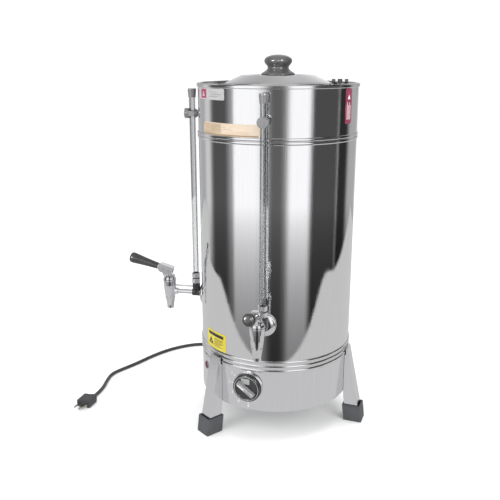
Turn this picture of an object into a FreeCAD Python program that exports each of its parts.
import FreeCAD, Part
import math
import os

# Electric coffee urn on three legs: a stainless water jacket with a coffee vessel hung inside it,
# two taps with level glasses, a thermostat, a pilot lamp and a mains lead.
# Frame: origin on the floor under the urn's axis, +Z up, front tap towards -Y, left tap towards -X.
# Millimetres throughout. "u" is the distance from the urn's axis along the direction a tap points.

# ---- driving dimensions ----
BODY_R = 145.0
SHEET = 1.2
SKIRT_Z = 61.0
SHELL_Z = 137.0
SHELL_TOP = 642.3
FIT_GAP = 0.3
RUN_GAP = 0.05

# beads rolled into the shell: heights of their crests
LOWER_BEADS = (141.8, 150.2, 158.8)
UPPER_BEADS = (550.2, 556.4)
BEAD_HALF = 3.0
BEAD_PROUD = 1.7
BEAD_STEPS = 14

# deck, vessel and tank
DECK_Z = 640.0
LIP_R = 147.0
LIP_BOTTOM = 637.5
LIP_TOP = 644.0
DECK_HOLE_R = 90.5
VESSEL_R = 89.0
VESSEL_FLANGE_R = 94.5
VESSEL_BOTTOM = 219.0
VESSEL_SHEET = 1.0
VESSEL_BEND = 4.0
VESSEL_TOP = DECK_Z + 0.1 + VESSEL_SHEET
TANK_FLOOR_Z = 150.0
FILLER_ANGLE = 108.0
FILLER_U = 115.0
FILLER_R = 12.0
FILLER_NECK_TOP = DECK_Z + 1.6
CAP_R = 15.0
CAP_DISC = 2.2
CAP_PLUG = 9.0
CAP_LUG = 5.2
CAP_LUG_WIDTH = 8.4
CAP_LUG_DEPTH = 5.5
CAP_LUG_TURN = -15.0

# heating element and sensing bulb
ELEMENT_R = 4.0
ELEMENT_Y = -20.0
ELEMENT_LEGS_X = (-60.0, 60.0)
ELEMENT_Z = 172.0
BULB_R = 3.2
BULB_X = 0.0
BULB_Y = -75.0

# lid: heights are above the deck's top face
LID_R = 96.0
LID_SHEET = 1.0
LID_GAP = 1.6
LID_CREST = 15.5
LID_BOSS = LID_CREST - 0.6
KNOB_SEAT_Z = DECK_Z + LID_GAP + LID_BOSS
KNOB_R = 25.3
KNOB_BASE_R = 31.0

# taps
TAP_ANGLES = {"front": 0.0, "left": -90.0}
TAP_U = 216.0
SHANK_Z = 233.0
SHANK_R = 4.65
SHANK_BORE_R = 3.0
SPOUT_TIP_Z = 197.0
SPOUT_R = 7.2
SPOUT_BORE_R = 4.5
TAP_TOP_Z = 266.0
TAP_R = 13.0
CHAMBER_R = 8.5
SEAT_Z = 226.0
STEM_R = 3.0
PIVOT_U = 228.0
PIVOT_Z = 279.5
LEVER_TILT = 16.0
LEVER_ARM = 12.48
PIN_R = 2.0
CHEEK_GAP = 8.0
HEAD_WIDTH = 15.0
GRIP_LENGTH = 63.0
TIE_Z = 245.0
TIE_R = 1.8
TIE_INSET = 6.0

# level glasses
GLASS_U = 161.0
GLASS_R = 5.8
GLASS_BORE_R = 4.0
GLASS_BOTTOM = 260.0
GLASS_TOP = 626.0
BLOCK_TOP = 253.5
NECK_R = 6.9
NECK_TOP = 267.0
HOLDER_Z = 587.0
CAP_BOTTOM = 616.0
CAP_TOP = 632.0

# thermostat, lamp and gland on the base skirt
DIAL_ANGLE = -11.5
DIAL_Z = 107.5
DIAL_R = 27.0
BEZEL_R = 28.3
DIAL_BAR_TURN = -55.0
LAMP_ANGLE = -57.0
LAMP_Z = 113.5
GLAND_ANGLE = 158.0
GLAND_Z = 96.0
GLAND_TIP_U = 178.0

# legs and feet
LEG_ANGLES = {"front_left": -40.0, "right": 80.0, "rear": 200.0}
LEG_SHEET = 1.5
LEG_WIDTH = 26.4
LEG_TOP = (149.8, 151.0)
LEG_BOTTOM = (180.2, 4.3)
FOOT_WIDTH = 31.8
FOOT_WALL = 2.3
FOOT_TOP = 32.6

# labels: first and last direction in degrees, lower and upper edge
LABELS = (
    (-62.5, -29.8, 618.0, 636.8),
    (-53.5, -3.4, 559.8, 580.8),
    (59.8, 68.2, 577.8, 636.8),
    (-53.6, -30.4, 161.9, 196.5),
)
LABEL_THICKNESS = 0.25

# mains lead: points that its centre line turns at, and its plug
CORD_R = 3.5
LEAD_IN_ROUTE = [
    (66.6, 165.0, 96.0), (74.0, 183.3, 94.5), (82.5, 203.0, 80.0), (88.5, 221.0, 56.0),
    (91.0, 239.0, 30.0), (90.8, 259.0, 9.0), (89.3, 279.0, 3.5),
]
RUN_ROUTE = [
    (46.0, 312.8, 9.6), (28.0, 312.6, 11.0), (6.0, 311.0, 10.0), (-20.0, 306.5, 4.5),
    (-58.0, 299.0, 3.5), (-108.0, 284.0, 3.5), (-154.0, 265.0, 3.5), (-194.0, 257.5, 3.5),
    (-228.0, 253.0, 3.5), (-260.0, 235.0, 3.5), (-291.0, 206.0, 3.5), (-318.0, 167.0, 3.5),
    (-340.0, 123.0, 3.5), (-362.0, 88.0, 3.5), (-379.0, 59.0, 3.5), (-376.0, 22.0, 3.5),
    (-371.0, -12.0, 3.5), (-375.0, -42.0, 3.5),
]
ARC_SHARE = 0.45
PLUG_LENGTH = 46.0
PLUG_HALF_HEIGHT = 8.0
PIN_SPACING = 9.5
COIL_CENTRE = (47.3, 274.3)
COIL_INNER_R = 31.5
COIL_OUTER_R = 45.5
COIL_HEIGHT = 13.1

UP = FreeCAD.Vector(0, 0, 1)
ORIGIN = FreeCAD.Vector(0, 0, 0)


def vec(x, y, z):
    return FreeCAD.Vector(x, y, z)


def at_angle(shape, angle):
    """Turn a shape built towards -Y about the urn's axis; negative angles go towards -X."""
    turned = shape.copy()
    turned.rotate(ORIGIN, UP, angle)
    return turned


def out_point(angle, u, z):
    """The point at distance u from the axis in the direction of angle, at height z."""
    a = math.radians(angle)
    return vec(u * math.sin(a), -u * math.cos(a), z)


def revolve(profile):
    """Solid of revolution about Z from (radius, height) points."""
    points = [vec(r, 0, z) for r, z in profile]
    points.append(points[0])
    face = Part.Face(Part.makePolygon(points))
    return face.revolve(ORIGIN, UP, 360)


def ring(r_in, r_out, z_low, z_high):
    """Plain ring about Z."""
    outer = Part.makeCylinder(r_out, z_high - z_low, vec(0, 0, z_low))
    return outer.cut(Part.makeCylinder(r_in, z_high - z_low + 2, vec(0, 0, z_low - 1)))


def rod_out(radius, u_from, u_to, z, x=0.0):
    """Cylinder pointing away from the axis along -Y."""
    return Part.makeCylinder(radius, u_to - u_from, vec(x, -u_from, z), vec(0, -1, 0))


def rod_up(radius, u, z_from, z_to):
    """Upright cylinder standing at distance u towards -Y."""
    return Part.makeCylinder(radius, z_to - z_from, vec(0, -u, z_from))


def slab(outline, width):
    """Plate of an outline of (u, height) points, its width centred on x = 0."""
    points = [vec(-width / 2.0, -u, z) for u, z in outline]
    points.append(points[0])
    return Part.Face(Part.makePolygon(points)).extrude(vec(width, 0, 0))


def hexagon(across_flats, u, z_from, z_to, hole_r):
    """Upright hexagon nut at distance u towards -Y."""
    corner = across_flats / math.sqrt(3)
    points = []
    for k in range(7):
        a = math.radians(60 * k)
        points.append(vec(corner * math.cos(a), -u + corner * math.sin(a), z_from))
    body = Part.Face(Part.makePolygon(points)).extrude(vec(0, 0, z_to - z_from))
    return body.cut(rod_up(hole_r, u, z_from - 1, z_to + 1))


def save(name, shape):
    """Write one node and say how big it is."""
    solids = shape.Solids
    if not shape.isValid() or not solids:
        raise RuntimeError(name + " is not a valid solid")
    shape = solids[0] if len(solids) == 1 else Part.makeCompound(solids)
    shape.exportStep("parts/" + name + ".step")
    print(name, len(solids), round(shape.Volume, 1))


# ---- casing ----
def bead(z, bulge_r):
    """Rolled bead: a ring with a round crest standing BEAD_PROUD off the shell."""
    steps = BEAD_STEPS
    points = [(bulge_r - SHEET, z - BEAD_HALF), (bulge_r, z - BEAD_HALF)]
    for k in range(1, steps):
        a = math.pi * k / steps
        points.append((bulge_r + BEAD_PROUD * math.sin(a), z - BEAD_HALF * math.cos(a)))
    points += [(bulge_r, z + BEAD_HALF), (bulge_r - SHEET, z + BEAD_HALF)]
    return revolve(points)


def outer_shell():
    """Jacket wall with its rolled beads and the holes for both shanks and both holder studs."""
    shell = ring(BODY_R - SHEET, BODY_R, SHELL_Z, SHELL_TOP)
    for z in LOWER_BEADS + UPPER_BEADS:
        shell = shell.fuse(bead(z, BODY_R))
    for angle in TAP_ANGLES.values():
        hole = rod_out(SHANK_R + 0.3, BODY_R - 8, BODY_R + 8, SHANK_Z)
        stud_hole = rod_out(2.6, BODY_R - 8, BODY_R + 8, HOLDER_Z)
        shell = shell.cut(at_angle(hole.fuse(stud_hole), angle))
    return shell.removeSplitter()


def base_skirt():
    """Lower ring of the casing with a hemmed bottom edge and its instrument holes."""
    hem = 2.0
    skirt = ring(BODY_R - SHEET, BODY_R, SKIRT_Z, SHELL_Z)
    skirt = skirt.fuse(ring(BODY_R - SHEET - hem, BODY_R, SKIRT_Z, SKIRT_Z + hem))
    holes = ((DIAL_ANGLE, DIAL_Z, 5.0), (LAMP_ANGLE, LAMP_Z, 6.0), (GLAND_ANGLE, GLAND_Z, 8.0))
    for angle, z, radius in holes:
        skirt = skirt.cut(at_angle(rod_out(radius, BODY_R - 8, BODY_R + 8, z), angle))
    return skirt.removeSplitter()


def bottom_cover():
    """Plate that closes the base, with a ring of vent holes."""
    plate_r = BODY_R - SHEET - 0.3
    plate_z = SKIRT_Z + 2.2
    plate = Part.makeCylinder(plate_r, SHEET, vec(0, 0, plate_z))
    plate = plate.fuse(ring(plate_r - SHEET, plate_r, plate_z, plate_z + 9))
    vent_u = 70.0
    for k in range(12):
        vent = Part.makeCylinder(4.0, SHEET + 2, vec(0, -vent_u, plate_z - 1))
        plate = plate.cut(at_angle(vent, 30 * k))
    return plate.removeSplitter()


def tank_floor():
    """Floor of the water jacket, turned down at its edge, with the element and bulb holes."""
    r = BODY_R - SHEET - 0.1
    lip_depth = 12.0
    plate = Part.makeCylinder(r, 1.5, vec(0, 0, TANK_FLOOR_Z))
    plate = plate.fuse(ring(r - 1.5, r, TANK_FLOOR_Z - lip_depth, TANK_FLOOR_Z))
    for x in ELEMENT_LEGS_X:
        plate = plate.cut(Part.makeCylinder(4.3, 6, vec(x, ELEMENT_Y, TANK_FLOOR_Z - 2)))
    bulb_hole = Part.makeCylinder(BULB_R + 0.1, 6, vec(BULB_X, BULB_Y, TANK_FLOOR_Z - 2))
    return plate.cut(bulb_hole).removeSplitter()


def deck_ring():
    """Top plate round the vessel, folded over the shell's edge, with the filler neck."""
    t = SHEET
    shell_in = BODY_R - SHEET
    profile = [
        (DECK_HOLE_R, DECK_Z - t), (shell_in - 0.1, DECK_Z - t), (shell_in - 0.1, LIP_TOP - t),
        (BODY_R + 0.1, LIP_TOP - t), (BODY_R + 0.1, LIP_BOTTOM), (LIP_R - 0.5, LIP_BOTTOM),
        (LIP_R, LIP_BOTTOM + 1), (LIP_R, LIP_TOP - 1.5), (LIP_R - 1, LIP_TOP),
        (shell_in - 0.4 - t, LIP_TOP), (shell_in - 0.8 - t, LIP_TOP - 0.8),
        (shell_in - 0.8 - t, DECK_Z), (DECK_HOLE_R, DECK_Z),
    ]
    deck = revolve(profile)
    neck_low = DECK_Z - 9.0
    neck = Part.makeCylinder(FILLER_R + 1.2, FILLER_NECK_TOP - neck_low, vec(0, -FILLER_U, neck_low))
    bore = Part.makeCylinder(FILLER_R, 30, vec(0, -FILLER_U, DECK_Z - 15))
    deck = deck.fuse(at_angle(neck, FILLER_ANGLE))
    return deck.cut(at_angle(bore, FILLER_ANGLE)).removeSplitter()


def coffee_vessel():
    """Deep pot with a small bend at its floor and the hole for the front shank."""
    r = VESSEL_R
    t = VESSEL_SHEET
    z = VESSEL_BOTTOM
    bend = VESSEL_BEND
    profile = [
        (0, z), (r - bend, z), (r - bend / 3, z + bend / 3), (r, z + bend), (r, VESSEL_TOP),
        (r - t, VESSEL_TOP), (r - t, z + bend + t), (r - bend / 3 - t, z + bend / 3 + t), (r - bend - t, z + t), (0, z + t),
    ]
    pot = revolve(profile)
    return pot.cut(rod_out(SHANK_R + 0.05, r - 10, r + 10, SHANK_Z))


def vessel_flange():
    """Flat rim welded round the pot's mouth, which rests on the deck."""
    return ring(VESSEL_R + 0.05, VESSEL_FLANGE_R, VESSEL_TOP - VESSEL_SHEET, VESSEL_TOP)


def heating_element():
    """Tubular heater: two straight terminals joined by a half loop above the tank floor."""
    loop_r = ELEMENT_LEGS_X[1]
    low = TANK_FLOOR_Z - 26.0
    left = vec(-loop_r, ELEMENT_Y, low)
    bend = 14.0
    path = Part.Wire([
        Part.LineSegment(left, vec(-loop_r, ELEMENT_Y, ELEMENT_Z - bend)).toShape(),
        Part.Arc(
            vec(-loop_r, ELEMENT_Y, ELEMENT_Z - bend),
            vec(-loop_r, ELEMENT_Y + bend * (1 - math.sqrt(0.5)), ELEMENT_Z - bend * (1 - math.sqrt(0.5))),
            vec(-loop_r, ELEMENT_Y + bend, ELEMENT_Z),
        ).toShape(),
        Part.Arc(
            vec(-loop_r, ELEMENT_Y + bend, ELEMENT_Z),
            vec(0, ELEMENT_Y + bend + loop_r, ELEMENT_Z),
            vec(loop_r, ELEMENT_Y + bend, ELEMENT_Z),
        ).toShape(),
        Part.Arc(
            vec(loop_r, ELEMENT_Y + bend, ELEMENT_Z),
            vec(loop_r, ELEMENT_Y + bend * (1 - math.sqrt(0.5)), ELEMENT_Z - bend * (1 - math.sqrt(0.5))),
            vec(loop_r, ELEMENT_Y, ELEMENT_Z - bend),
        ).toShape(),
        Part.LineSegment(vec(loop_r, ELEMENT_Y, ELEMENT_Z - bend), vec(loop_r, ELEMENT_Y, low)).toShape(),
    ])
    section = Part.Wire(Part.makeCircle(ELEMENT_R, left, UP))
    return path.makePipeShell([section], True, False)


def element_nuts():
    """The two nuts that clamp the heater's terminals under the tank floor."""
    nuts = []
    for x in ELEMENT_LEGS_X:
        nut = hexagon(17.0, 0, TANK_FLOOR_Z - 8.0, TANK_FLOOR_Z - 0.1, ELEMENT_R + 0.1)
        nut.translate(vec(x, ELEMENT_Y, 0))
        nuts.append(nut)
    return Part.makeCompound(nuts)


# ---- thermostat, lamp and gland ----
def clear_of_wall(shape, radius):
    """Cut away whatever lies inside the casing's outer face."""
    return shape.cut(Part.makeCylinder(radius, 900, vec(0, 0, -50)))


def thermostat_bezel():
    """Ring plate between the skirt and the dial."""
    plate = rod_out(BEZEL_R, BODY_R - 6, BODY_R + 3.6, DIAL_Z)
    plate = plate.makeChamfer(0.8, [e for e in plate.Edges if abs(e.CenterOfMass.y + BODY_R + 3.6) < 0.1])
    plate = plate.cut(rod_out(5.0, BODY_R - 9, BODY_R + 9, DIAL_Z))
    return at_angle(clear_of_wall(plate, BODY_R + 0.05), DIAL_ANGLE)


def thermostat_body():
    """Switch housing behind the skirt, with the bore in which the spindle turns."""
    depth = 26.0
    back = BODY_R - 8.0
    housing = Part.makeBox(38, depth, 44, vec(-19, -back, DIAL_Z - 22))
    housing = housing.fuse(rod_out(4.6, back - 1, BODY_R - 0.2, DIAL_Z))
    housing = housing.cut(rod_out(STEM_R + RUN_GAP, back - 14, BODY_R + 5, DIAL_Z))
    return at_angle(housing.removeSplitter(), DIAL_ANGLE)


def thermostat_bulb():
    """Sensing bulb standing in the water, on the end of its pocket."""
    bulb = Part.makeCylinder(BULB_R, 62, vec(BULB_X, BULB_Y, TANK_FLOOR_Z - 20))
    return bulb.makeFillet(1.5, [bulb.Edges[0]])


def dial_knob():
    """Round dial with a raised grip bar across it, on its spindle."""
    face_u = BODY_R + 4.0
    base = rod_out(DIAL_R, face_u, face_u + 7.0, DIAL_Z)
    front_edge = [e for e in base.Edges if abs(e.CenterOfMass.y + face_u + 7.0) < 0.1]
    base = base.makeFillet(2.0, front_edge)
    bar = Part.makeBox(12, 10, 44, vec(-6, -face_u - 16, DIAL_Z - 22))
    bar = bar.makeFillet(3.5, [e for e in bar.Edges if abs(e.CenterOfMass.y + face_u + 16) < 0.1])
    bar.rotate(vec(0, 0, DIAL_Z), vec(0, 1, 0), DIAL_BAR_TURN)
    spindle = rod_out(STEM_R, BODY_R - 20, face_u + 1, DIAL_Z)
    return at_angle(base.fuse(bar).fuse(spindle).removeSplitter(), DIAL_ANGLE)


def lamp_lens():
    """Red lens of the pilot lamp, a low dome on the skirt."""
    lens = rod_out(7.5, BODY_R - 4, BODY_R + 2.6, LAMP_Z)
    lens = lens.makeFillet(1.8, [e for e in lens.Edges if abs(e.CenterOfMass.y + BODY_R + 2.6) < 0.1])
    return at_angle(clear_of_wall(lens, BODY_R + 0.05), LAMP_ANGLE)


def lamp_body():
    """Lamp holder behind the skirt."""
    holder = rod_out(5.7, BODY_R - 26, BODY_R - 0.2, LAMP_Z)
    tabs = Part.makeBox(6.3, 8, 0.8, vec(-3.15, -BODY_R + 26 - 1, LAMP_Z))
    return at_angle(holder.fuse(tabs).removeSplitter(), LAMP_ANGLE)


def cord_gland():
    """Cable gland: thread and inner nut, flange, and a tapered sleeve that bends with the lead."""
    thread = rod_out(7.7, BODY_R - 12, BODY_R + 1, GLAND_Z)
    flange = rod_out(11.0, BODY_R - 1, BODY_R + 4.5, GLAND_Z)
    flange = clear_of_wall(flange, BODY_R + 0.05)
    taper = Part.makeCone(
        7.5, CORD_R + 1.2, GLAND_TIP_U - BODY_R - 4, vec(0, -BODY_R - 4, GLAND_Z), vec(0, -1, 0)
    )
    nut = rod_out(11.5, BODY_R - 7, BODY_R - 2.6, GLAND_Z)
    gland = thread.fuse(flange).fuse(taper).fuse(nut)
    return at_angle(gland.removeSplitter(), GLAND_ANGLE)


# ---- legs and feet ----
def leg_outline(inset):
    """Side view of a leg, its sloping outer edge moved inwards by inset."""
    top_u, top_z = LEG_TOP
    low_u, low_z = LEG_BOTTOM
    return [
        (147.4, top_z), (top_u - inset, top_z), (low_u - inset, low_z), (151.2, low_z),
        (147.4, FOOT_TOP + 1), (144.7, SKIRT_Z), (144.7, SHELL_Z - 0.3), (147.4, SHELL_Z + 1),
    ]


def leg(angle):
    """Folded channel with a sloping outer face and two side walls that meet the skirt."""
    outer = slab(leg_outline(0), LEG_WIDTH)
    hollow = slab(leg_outline(LEG_SHEET), LEG_WIDTH - 2 * LEG_SHEET)
    inward = hollow.copy()
    inward.translate(vec(0, 9, 0))
    drop = hollow.copy()
    drop.translate(vec(0, 3, -3))
    channel = outer.cut(hollow).cut(inward).cut(drop)
    return at_angle(clear_of_wall(channel, BODY_R + 0.1), angle)


def foot(angle):
    """Plastic cap pushed over the end of a leg; it leans with the leg."""
    low_in, low_out = 148.2, 183.2
    lean = 3.9
    w = FOOT_WALL
    outer = slab([(low_in, 0), (low_out, 0), (low_out - lean, FOOT_TOP), (low_in - lean, FOOT_TOP)], FOOT_WIDTH)
    floor_z = 4.0
    floor_lean = lean * floor_z / FOOT_TOP
    hollow = slab([
        (low_in + w - floor_lean, floor_z), (low_out - w - floor_lean, floor_z),
        (low_out - w - lean - 0.1, FOOT_TOP + 1), (low_in + w - lean, FOOT_TOP + 1),
    ], LEG_WIDTH + 0.4)
    return at_angle(outer.cut(hollow), angle)


# ---- lid ----
def lid():
    """Pressed lid: rolled edge, sloping shoulder, crest ring, sunk ring, centre boss, locating skirt."""
    z = DECK_Z + LID_GAP
    t = LID_SHEET
    boss = LID_BOSS
    top = [
        (0, boss), (33.0, boss), (36.0, boss - 4.2), (55.0, boss - 4.2), (60.0, LID_CREST - 1.2),
        (62.5, LID_CREST), (66.0, LID_CREST - 0.4), (90.0, 4.6), (93.5, 2.6),
        (95.2, 1.6), (LID_R, 0.3), (LID_R, -0.3),
    ]
    under = [
        (LID_R - t, -0.3), (93.6, 1.4), (89.6, 3.4), (87.4, 4.5), (87.4, -9.0),
        (86.6, -9.0), (86.6, 4.9), (65.4, LID_CREST - 0.6 - t), (62.5, LID_CREST - t),
        (59.6, LID_CREST - 1.6 - t), (54.6, boss - 4.2 - t), (36.6, boss - 4.2 - t), (33.6, boss - t),
        (0, boss - t),
    ]
    shell = revolve([(r, z + h) for r, h in top + under])
    return shell.cut(Part.makeCylinder(2.7, 60, vec(0, 0, z - 20)))


def knob_outline():
    """Heights above the lid's boss against radius, from the flared base to the crown."""
    return [
        (KNOB_BASE_R, 0.05), (KNOB_BASE_R, 2.0), (29.0, 4.0), (24.5, 6.8), (20.2, 9.8), (18.8, 12.4),
        (19.4, 15.0), (22.2, 18.0), (24.6, 21.0), (KNOB_R, 24.2), (24.6, 27.6), (21.8, 30.8),
        (16.0, 33.6), (9.0, 35.2), (0.0, 35.7),
    ]


def lid_knob():
    """Turned black knob with a blind screw hole."""
    z = KNOB_SEAT_Z
    body = revolve([(0, z + 0.05)] + [(r, z + h) for r, h in knob_outline()])
    return body.cut(Part.makeCylinder(2.55, 22, vec(0, 0, z - 1)))


def knob_screw():
    """Pan-head screw up through the lid into the knob."""
    z = KNOB_SEAT_Z
    head_top = z - LID_SHEET - 0.05
    shaft = Part.makeCylinder(2.5, 19 + z - head_top, vec(0, 0, head_top - 1))
    head = Part.makeCylinder(5.0, 3.2, vec(0, 0, head_top - 3.2))
    head = head.makeFillet(1.2, [head.Edges[2]])
    return shaft.fuse(head).removeSplitter()


def filler_cap():
    """Black press cap of the water filler: a disc with four standing lugs and a plug below."""
    base_z = FILLER_NECK_TOP + FIT_GAP
    cap = Part.makeCylinder(CAP_R, CAP_DISC, vec(0, -FILLER_U, base_z))
    cap = cap.fuse(Part.makeCylinder(FILLER_R - FIT_GAP, CAP_PLUG, vec(0, -FILLER_U, base_z + 1.0 - CAP_PLUG)))
    crown = Part.makeCylinder(CAP_R, CAP_LUG, vec(0, -FILLER_U, base_z + CAP_DISC))
    crown = crown.cut(Part.makeCylinder(CAP_R - CAP_LUG_DEPTH, CAP_LUG, vec(0, -FILLER_U, base_z + CAP_DISC)))
    for k in range(4):
        corner = vec(0, -CAP_LUG_WIDTH / 2, base_z + CAP_DISC - 0.5)
        bar = Part.makeBox(CAP_R, CAP_LUG_WIDTH, CAP_LUG + 0.5, corner)
        bar.rotate(ORIGIN, UP, CAP_LUG_TURN + 90.0 * k)
        bar.translate(vec(0, -FILLER_U, 0))
        cap = cap.fuse(bar.common(crown))
    return at_angle(cap.removeSplitter(), FILLER_ANGLE)


# ---- taps ----
def escutcheon():
    """Domed collar that covers the shank's hole in the casing."""
    rim_u = BODY_R + 0.8
    collar = rod_out(22.5, BODY_R - 5, rim_u, SHANK_Z)
    dome = Part.makeCone(22.5, 9.5, 5.6, vec(0, -rim_u, SHANK_Z), vec(0, -1, 0))
    body = collar.fuse(dome).fuse(rod_out(8.6, rim_u, rim_u + 7.4, SHANK_Z))
    body = body.cut(rod_out(SHANK_R + 0.05, BODY_R - 20, BODY_R + 20, SHANK_Z))
    return clear_of_wall(body.removeSplitter(), BODY_R + 0.05)


def shank(inner_u):
    """Pipe from the vessel or the jacket out to the tap."""
    pipe = rod_out(SHANK_R, inner_u, TAP_U - CHAMBER_R + 0.5, SHANK_Z)
    bore = rod_out(SHANK_BORE_R, inner_u - 1, TAP_U, SHANK_Z)
    port = rod_up(SHANK_BORE_R - 0.5, GLASS_U, SHANK_Z, SHANK_Z + 10)
    return pipe.cut(bore).cut(port)


def locknut():
    """Hexagon nut inside the casing."""
    nut = hexagon(17.0, 0, 0, 6.0, SHANK_R + 0.05)
    nut.rotate(ORIGIN, vec(1, 0, 0), 90)
    nut.translate(vec(0, -BODY_R + 9, SHANK_Z))
    return nut


def level_block():
    """Black tee on the shank that carries the glass: a sleeve, an upright boss and a threaded neck."""
    half = 7.6
    sleeve = rod_out(7.4, GLASS_U - half, GLASS_U + half, SHANK_Z)
    boss = rod_up(half, GLASS_U, SHANK_Z, BLOCK_TOP)
    neck = rod_up(NECK_R, GLASS_U, BLOCK_TOP, NECK_TOP)
    tee = sleeve.fuse(boss).fuse(neck)
    tee = tee.cut(rod_out(SHANK_R + RUN_GAP, GLASS_U - 20, GLASS_U + 20, SHANK_Z))
    tee = tee.cut(rod_up(3.0, GLASS_U, SHANK_Z + 2, 280))
    tee = tee.cut(rod_out(TIE_R + RUN_GAP, GLASS_U + TIE_INSET, TAP_U, TIE_Z))
    return tee.cut(rod_up(GLASS_R + 0.1, GLASS_U, GLASS_BOTTOM - 0.5, 280)).removeSplitter()


def block_nut():
    """Gland nut on top of the level block, round the foot of the glass."""
    return hexagon(15.0, GLASS_U, BLOCK_TOP + 0.1, BLOCK_TOP + 9.0, NECK_R + RUN_GAP)


def tube_nut():
    """Upper nut that grips the glass above the level block's neck."""
    nut = hexagon(14.6, GLASS_U, BLOCK_TOP + 11.4, BLOCK_TOP + 20.5, GLASS_R + 0.2)
    return nut.cut(rod_up(NECK_R + RUN_GAP, GLASS_U, BLOCK_TOP + 10, NECK_TOP + 0.1))


def tie_bar():
    """Thin stay between the level block and the tap body."""
    return rod_out(TIE_R, GLASS_U + TIE_INSET + FIT_GAP, TAP_U - TAP_R + 2.0, TIE_Z)


def tap_body():
    """Tapered tap with its inlet boss, valve chamber, spout bore and the ear for the lever."""
    profile = [
        (0, SPOUT_TIP_Z), (SPOUT_R, SPOUT_TIP_Z), (SPOUT_R, SPOUT_TIP_Z + 6), (9.6, 218.0),
        (11.8, 234.0), (12.8, 246.0), (TAP_R, 252.0), (TAP_R, 259.0), (11.2, 262.5), (11.2, TAP_TOP_Z),
        (0, TAP_TOP_Z),
    ]
    body = revolve(profile)
    body.translate(vec(0, -TAP_U, 0))
    body = body.fuse(rod_out(6.6, TAP_U - 17, TAP_U, SHANK_Z))
    ear = slab(
        [(PIVOT_U - 5.2, TAP_TOP_Z - 4), (PIVOT_U - 1.0, TAP_TOP_Z - 4), (PIVOT_U + 4, PIVOT_Z - 4),
         (PIVOT_U + 4, PIVOT_Z), (PIVOT_U - 4, PIVOT_Z), (PIVOT_U - 5.2, PIVOT_Z - 5)], CHEEK_GAP - 0.8
    )
    ear = ear.fuse(cross_rod(4.2, PIVOT_U, PIVOT_Z, CHEEK_GAP - 0.8))
    body = body.fuse(ear)
    body = body.cut(cross_rod(PIN_R + RUN_GAP, PIVOT_U, PIVOT_Z, 40))
    body = body.cut(rod_out(TIE_R + RUN_GAP, TAP_U - TAP_R - 4, TAP_U - TAP_R + 2.3, TIE_Z))
    body = body.cut(rod_up(SPOUT_BORE_R, TAP_U, SPOUT_TIP_Z - 1, SEAT_Z + 1))
    body = body.cut(rod_up(CHAMBER_R, TAP_U, SEAT_Z, TAP_TOP_Z - 5))
    body = body.cut(rod_up(STEM_R + RUN_GAP, TAP_U, SEAT_Z, TAP_TOP_Z + 1))
    return body.cut(rod_out(SHANK_R + RUN_GAP, TAP_U - 30, TAP_U - 3, SHANK_Z)).removeSplitter()


def cross_rod(radius, u, z, length):
    """Cylinder across the tap, along X."""
    return Part.makeCylinder(radius, length, vec(-length / 2.0, -u, z), vec(1, 0, 0))


def lift_pin_place():
    """Distance from the axis and height of the pin that raises the stem."""
    a = math.radians(LEVER_TILT)
    return PIVOT_U - LEVER_ARM * math.cos(a), PIVOT_Z - LEVER_ARM * math.sin(a)


def lever_head():
    """Fork over the stem: two cheeks joined at the top and at the outer end, with the grip's spigot."""
    lift_u, lift_z = lift_pin_place()
    a = math.radians(LEVER_TILT)
    along_u, along_z = math.cos(a), math.sin(a)
    up_u, up_z = -math.sin(a), math.cos(a)

    def place(s, h):
        return (PIVOT_U + s * along_u + h * up_u, PIVOT_Z + s * along_z + h * up_z)

    outline = [place(-19.5, 9.0), place(7.5, 9.0), place(9.0, 7.0), place(9.0, -4.4), place(4.6, -7.6),
               place(-17.5, -7.6), place(-19.5, -5.5)]
    block = slab(outline, HEAD_WIDTH)
    slot = slab([place(-25, 6.4), place(5.4, 6.4), place(5.4, -12), place(-25, -12)], CHEEK_GAP)
    block = block.cut(slot)
    spigot_u, spigot_z = place(6.0, 1.0)
    spigot = Part.makeCylinder(3.0, 24, vec(0, -spigot_u, spigot_z), vec(0, -along_u, along_z))
    block = block.fuse(spigot)
    block = block.cut(cross_rod(PIN_R + 0.02, PIVOT_U, PIVOT_Z, 40))
    block = block.cut(cross_rod(PIN_R + 0.02, lift_u, lift_z, 40))
    return block.removeSplitter()


def lever_pins():
    """Pivot pin and lift pin, both fixed across the fork."""
    lift_u, lift_z = lift_pin_place()
    length = HEAD_WIDTH
    return Part.makeCompound([
        cross_rod(PIN_R, PIVOT_U, PIVOT_Z, length), cross_rod(PIN_R, lift_u, lift_z, length)
    ])


def grip():
    """Black handle, thin at the fork and thick at its rounded end."""
    a = math.radians(LEVER_TILT)
    start_u = PIVOT_U + 9.2 * math.cos(a) - 1.0 * math.sin(a)
    start_z = PIVOT_Z + 9.2 * math.sin(a) + 1.0 * math.cos(a)
    profile = [(0, 0), (6.0, 0), (6.4, 1.2), (7.6, 22.0), (9.6, 44.0), (10.9, 55.0), (10.6, 59.0),
               (8.6, 61.8), (5.0, GRIP_LENGTH), (0, GRIP_LENGTH + 0.2)]
    body = revolve(profile).cut(Part.makeCylinder(3.05, 25, vec(0, 0, -1)))
    body.rotate(ORIGIN, vec(1, 0, 0), 90 - LEVER_TILT)
    body.translate(vec(0, -start_u, start_z))
    return body


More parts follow.
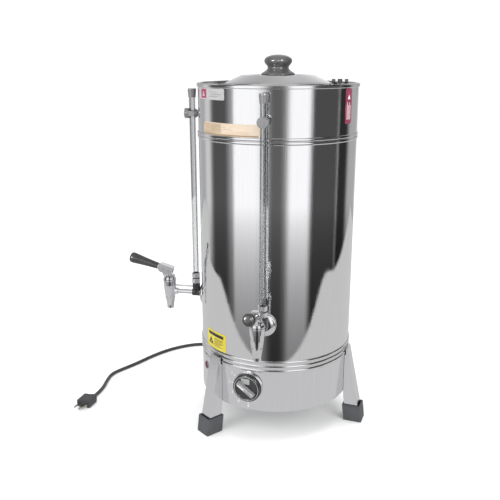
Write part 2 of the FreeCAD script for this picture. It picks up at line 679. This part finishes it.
def valve_stem():
    """Sealing disc on its seat, the rod, and the slotted tongue that the lift pin raises."""
    lift_u, lift_z = lift_pin_place()
    disc = rod_up(6.4, TAP_U, SEAT_Z + 0.3, SEAT_Z + 4.6)
    rod = rod_up(STEM_R, TAP_U, SEAT_Z + 4, lift_z - 4.5)
    tongue = slab(
        [(TAP_U - 4.6, lift_z - 5.0), (TAP_U + 4.6, lift_z - 5.0), (TAP_U + 4.6, lift_z + 3.2),
         (TAP_U + 3.4, lift_z + 4.4), (TAP_U - 3.4, lift_z + 4.4), (TAP_U - 4.6, lift_z + 3.2)], CHEEK_GAP - 1.0
    )
    half_slot = 0.8
    slot_r = PIN_R + 0.3
    slot = cross_rod(slot_r, lift_u - half_slot, lift_z, 30)
    slot = slot.fuse(cross_rod(slot_r, lift_u + half_slot, lift_z, 30))
    slot = slot.fuse(slab([
        (lift_u - half_slot, lift_z - slot_r), (lift_u + half_slot, lift_z - slot_r),
        (lift_u + half_slot, lift_z + slot_r), (lift_u - half_slot, lift_z + slot_r)], 30))
    return disc.fuse(rod).fuse(tongue).cut(slot).removeSplitter()


# ---- level glass ----
def sight_glass():
    """Glass tube from the level block up to its cap."""
    return rod_up(GLASS_R, GLASS_U, GLASS_BOTTOM, GLASS_TOP).cut(
        rod_up(GLASS_BORE_R, GLASS_U, GLASS_BOTTOM - 1, GLASS_TOP + 1))


def tube_cap():
    """Black vented cap pushed over the top of the glass, wider at its top."""
    profile = [(0, CAP_TOP), (0, CAP_BOTTOM), (6.8, CAP_BOTTOM), (8.0, CAP_TOP - 2.5), (7.4, CAP_TOP)]
    cap = revolve(profile)
    cap.translate(vec(0, -GLASS_U, 0))
    cap = cap.cut(rod_up(GLASS_R + 0.1, GLASS_U, CAP_BOTTOM - 1, GLASS_TOP + 0.1))
    return cap.cut(rod_up(1.2, GLASS_U, CAP_BOTTOM, CAP_TOP + 1))


def holder():
    """Black spool that grips the glass: an inner disc, a waist with the tube's hole, an outer disc."""
    inner = Part.makeCone(5.5, 8.6, 5.2, vec(0, -150.0, HOLDER_Z), vec(0, -1, 0))
    waist = rod_out(5.4, 154.0, 168.0, HOLDER_Z)
    cheek = Part.makeBox(17.0, 12.6, 10.0, vec(-8.5, -167.6, HOLDER_Z - 5.0))
    outer = rod_out(9.3, 167.2, 174.6, HOLDER_Z)
    body = inner.fuse(waist).fuse(cheek).fuse(outer)
    body = body.cut(rod_up(GLASS_R + 0.15, GLASS_U, HOLDER_Z - 20, HOLDER_Z + 20))
    body = body.cut(rod_out(2.55, 140, 153.5, HOLDER_Z))
    return body.removeSplitter()


def holder_stud():
    """Stud through the casing with a shoulder outside and a nut inside."""
    shaft = rod_out(2.5, BODY_R - 9, 153.0, HOLDER_Z)
    shoulder = Part.makeCone(6.4, 4.0, 4.4, vec(0, -BODY_R + 0.4, HOLDER_Z), vec(0, -1, 0))
    shoulder = clear_of_wall(shoulder, BODY_R + 0.05)
    inner_nut = rod_out(5.0, BODY_R - 6, BODY_R - 1.9, HOLDER_Z)
    return shaft.fuse(shoulder).fuse(inner_nut).removeSplitter()


# ---- labels ----
def curved_patch(angle_from, angle_to, z_low, z_high, thickness):
    """Thin patch that follows the casing between two directions."""
    inner = BODY_R + 0.05
    patch = ring(inner, inner + thickness, z_low, z_high)
    wedge_r = BODY_R + 20
    a0 = out_point(angle_from, wedge_r, z_low - 1)
    a1 = out_point((angle_from + angle_to) / 2, wedge_r, z_low - 1)
    a2 = out_point(angle_to, wedge_r, z_low - 1)
    edges = [
        Part.LineSegment(vec(0, 0, z_low - 1), a0).toShape(),
        Part.Arc(a0, a1, a2).toShape(),
        Part.LineSegment(a2, vec(0, 0, z_low - 1)).toShape(),
    ]
    wedge = Part.Face(Part.Wire(edges)).extrude(vec(0, 0, z_high - z_low + 2))
    return patch.common(wedge)


def labels():
    """Rating plate, paper band, warning strip and caution sticker on the casing."""
    return Part.makeCompound([curved_patch(*place, LABEL_THICKNESS) for place in LABELS])


# ---- mains lead ----
def rounded_path(points, name):
    """Straight runs joined by tangent arcs, each as large as its two runs allow."""
    pts = [vec(*p) for p in points]
    edges = []
    start = pts[0]
    tightest = 1e9
    for before, here, after in zip(pts, pts[1:], pts[2:]):
        d_in = (here - before).normalize()
        d_out = (after - here).normalize()
        turn = d_in.getAngle(d_out)
        shorter = min((here - before).Length, (after - here).Length)
        tangent = ARC_SHARE * shorter
        radius = tangent / math.tan(turn / 2)
        tightest = min(tightest, radius)
        print(name, "radius", round(radius, 1), "turn", round(math.degrees(turn), 1), "run", round(shorter, 1))
        p_in = here - d_in * tangent
        p_out = here + d_out * tangent
        bisector = (d_out - d_in).normalize()
        centre = here + bisector * (radius / math.cos(turn / 2))
        middle = centre - bisector * radius
        edges.append(Part.LineSegment(start, p_in).toShape())
        edges.append(Part.Arc(p_in, middle, p_out).toShape())
        start = p_out
    edges.append(Part.LineSegment(start, pts[-1]).toShape())
    print(name, "tightest", round(tightest, 1))
    return Part.Wire(edges)


def cord_tube(points, name):
    """Round lead along its path; prints its volume against section times length."""
    path = rounded_path(points, name)
    start = vec(*points[0])
    along = (vec(*points[1]) - start).normalize()
    section = Part.Wire(Part.makeCircle(CORD_R, start, along))
    tube = path.makePipeShell([section], True, False)
    expected = math.pi * CORD_R ** 2 * path.Length
    print(name, "length", round(path.Length, 1), "volume ratio", round(tube.Volume / expected, 4))
    return tube


def cord_coil():
    """Outer shape of the put-away turns of the lead."""
    x, y = COIL_CENTRE
    edge = 3.2
    profile = [
        (COIL_INNER_R, edge), (COIL_INNER_R + 1.5, 0), (COIL_OUTER_R - 1.5, 0), (COIL_OUTER_R, edge),
        (COIL_OUTER_R - 1.0, 7.0), (42.0, COIL_HEIGHT - 1.5), (40.5, COIL_HEIGHT), (36.5, COIL_HEIGHT),
        (35.0, COIL_HEIGHT - 1.5), (COIL_INNER_R + 0.5, 7.0),
    ]
    coil = revolve(profile)
    coil.translate(vec(x, y, 0))
    return coil


def plug_frame(shape):
    """Lay a plug built along +X from the origin at the lead's far end."""
    x0, y0, _ = RUN_ROUTE[-2]
    x1, y1, _ = RUN_ROUTE[-1]
    laid = shape.copy()
    laid.rotate(ORIGIN, UP, math.degrees(math.atan2(y1 - y0, x1 - x0)))
    laid.translate(vec(x1, y1, 0))
    return laid


def plug_body():
    """Moulded plug: tapered neck round the lead and a flat-sided head with rounded edges."""
    neck_length = 16.0
    neck = Part.makeLoft([
        Part.Wire(Part.makeCircle(CORD_R, vec(0, 0, CORD_R), vec(1, 0, 0))),
        Part.Wire(Part.makeCircle(6.6, vec(neck_length, 0, PLUG_HALF_HEIGHT), vec(1, 0, 0))),
    ], True, True)
    head = Part.makeBox(PLUG_LENGTH - neck_length, 30, 2 * PLUG_HALF_HEIGHT, vec(neck_length, -15, 0))
    head = head.makeFillet(4.0, [e for e in head.Edges if abs(e.CenterOfMass.x - PLUG_LENGTH) > 1])
    return plug_frame(neck.fuse(head).removeSplitter())


def plug_pins():
    """Three round pins, the middle one offset."""
    pins = []
    for y, z in ((-PIN_SPACING, 0.0), (0.0, -3.0), (PIN_SPACING, 0.0)):
        pins.append(Part.makeCylinder(2.0, 18, vec(PLUG_LENGTH + 0.05, y, PLUG_HALF_HEIGHT + z), vec(1, 0, 0)))
    return plug_frame(Part.makeCompound(pins))


def both_sides(builder):
    """One shape for each tap, in a compound."""
    return Part.makeCompound([at_angle(builder(), angle) for angle in TAP_ANGLES.values()])


def build_casing():
    save("outer_shell", outer_shell())
    save("base_skirt", base_skirt())
    save("bottom_cover", bottom_cover())
    save("tank_floor", tank_floor())
    save("deck_ring", deck_ring())
    save("coffee_vessel", coffee_vessel())
    save("vessel_flange", vessel_flange())
    save("heating_element", heating_element())
    save("element_nuts", element_nuts())
    save("labels", labels())


def build_controls():
    save("thermostat_bezel", thermostat_bezel())
    save("thermostat_body", thermostat_body())
    save("thermostat_bulb", thermostat_bulb())
    save("dial_knob", dial_knob())
    save("lamp_lens", lamp_lens())
    save("lamp_body", lamp_body())


def build_stand():
    for name, angle in LEG_ANGLES.items():
        save("leg_" + name, leg(angle))
        save("foot_" + name, foot(angle))


def build_lid():
    save("lid", lid())
    save("lid_knob", lid_knob())
    save("knob_screw", knob_screw())
    save("filler_cap", filler_cap())


def build_taps():
    inner_ends = {"front": VESSEL_R - 6.0, "left": BODY_R - 16.0}
    pieces = {
        "escutcheon": escutcheon, "level_block": level_block, "tap_body": tap_body,
        "lever_head": lever_head, "lever_pins": lever_pins, "grip": grip, "valve_stem": valve_stem,
        "sight_glass": sight_glass, "tube_cap": tube_cap, "holder": holder,
    }
    for side, angle in TAP_ANGLES.items():
        save(side + "_shank", at_angle(shank(inner_ends[side]), angle))
        for name, builder in pieces.items():
            save(side + "_" + name, at_angle(builder(), angle))
        save(side + "_tube_nut", at_angle(tube_nut(), angle))
    save("shank_locknuts", both_sides(locknut))
    save("block_nuts", both_sides(block_nut))
    save("tie_bars", both_sides(tie_bar))
    save("holder_studs", both_sides(holder_stud))


def build_lead():
    save("cord_gland", cord_gland())
    save("cord_lead_in", cord_tube(LEAD_IN_ROUTE, "cord_lead_in"))
    save("cord_coil", cord_coil())
    save("cord_run", cord_tube(RUN_ROUTE, "cord_run"))
    save("plug_body", plug_body())
    save("plug_pins", plug_pins())


os.makedirs("parts", exist_ok=True)
build_casing()
build_controls()
build_stand()
build_lid()
build_taps()
build_lead()
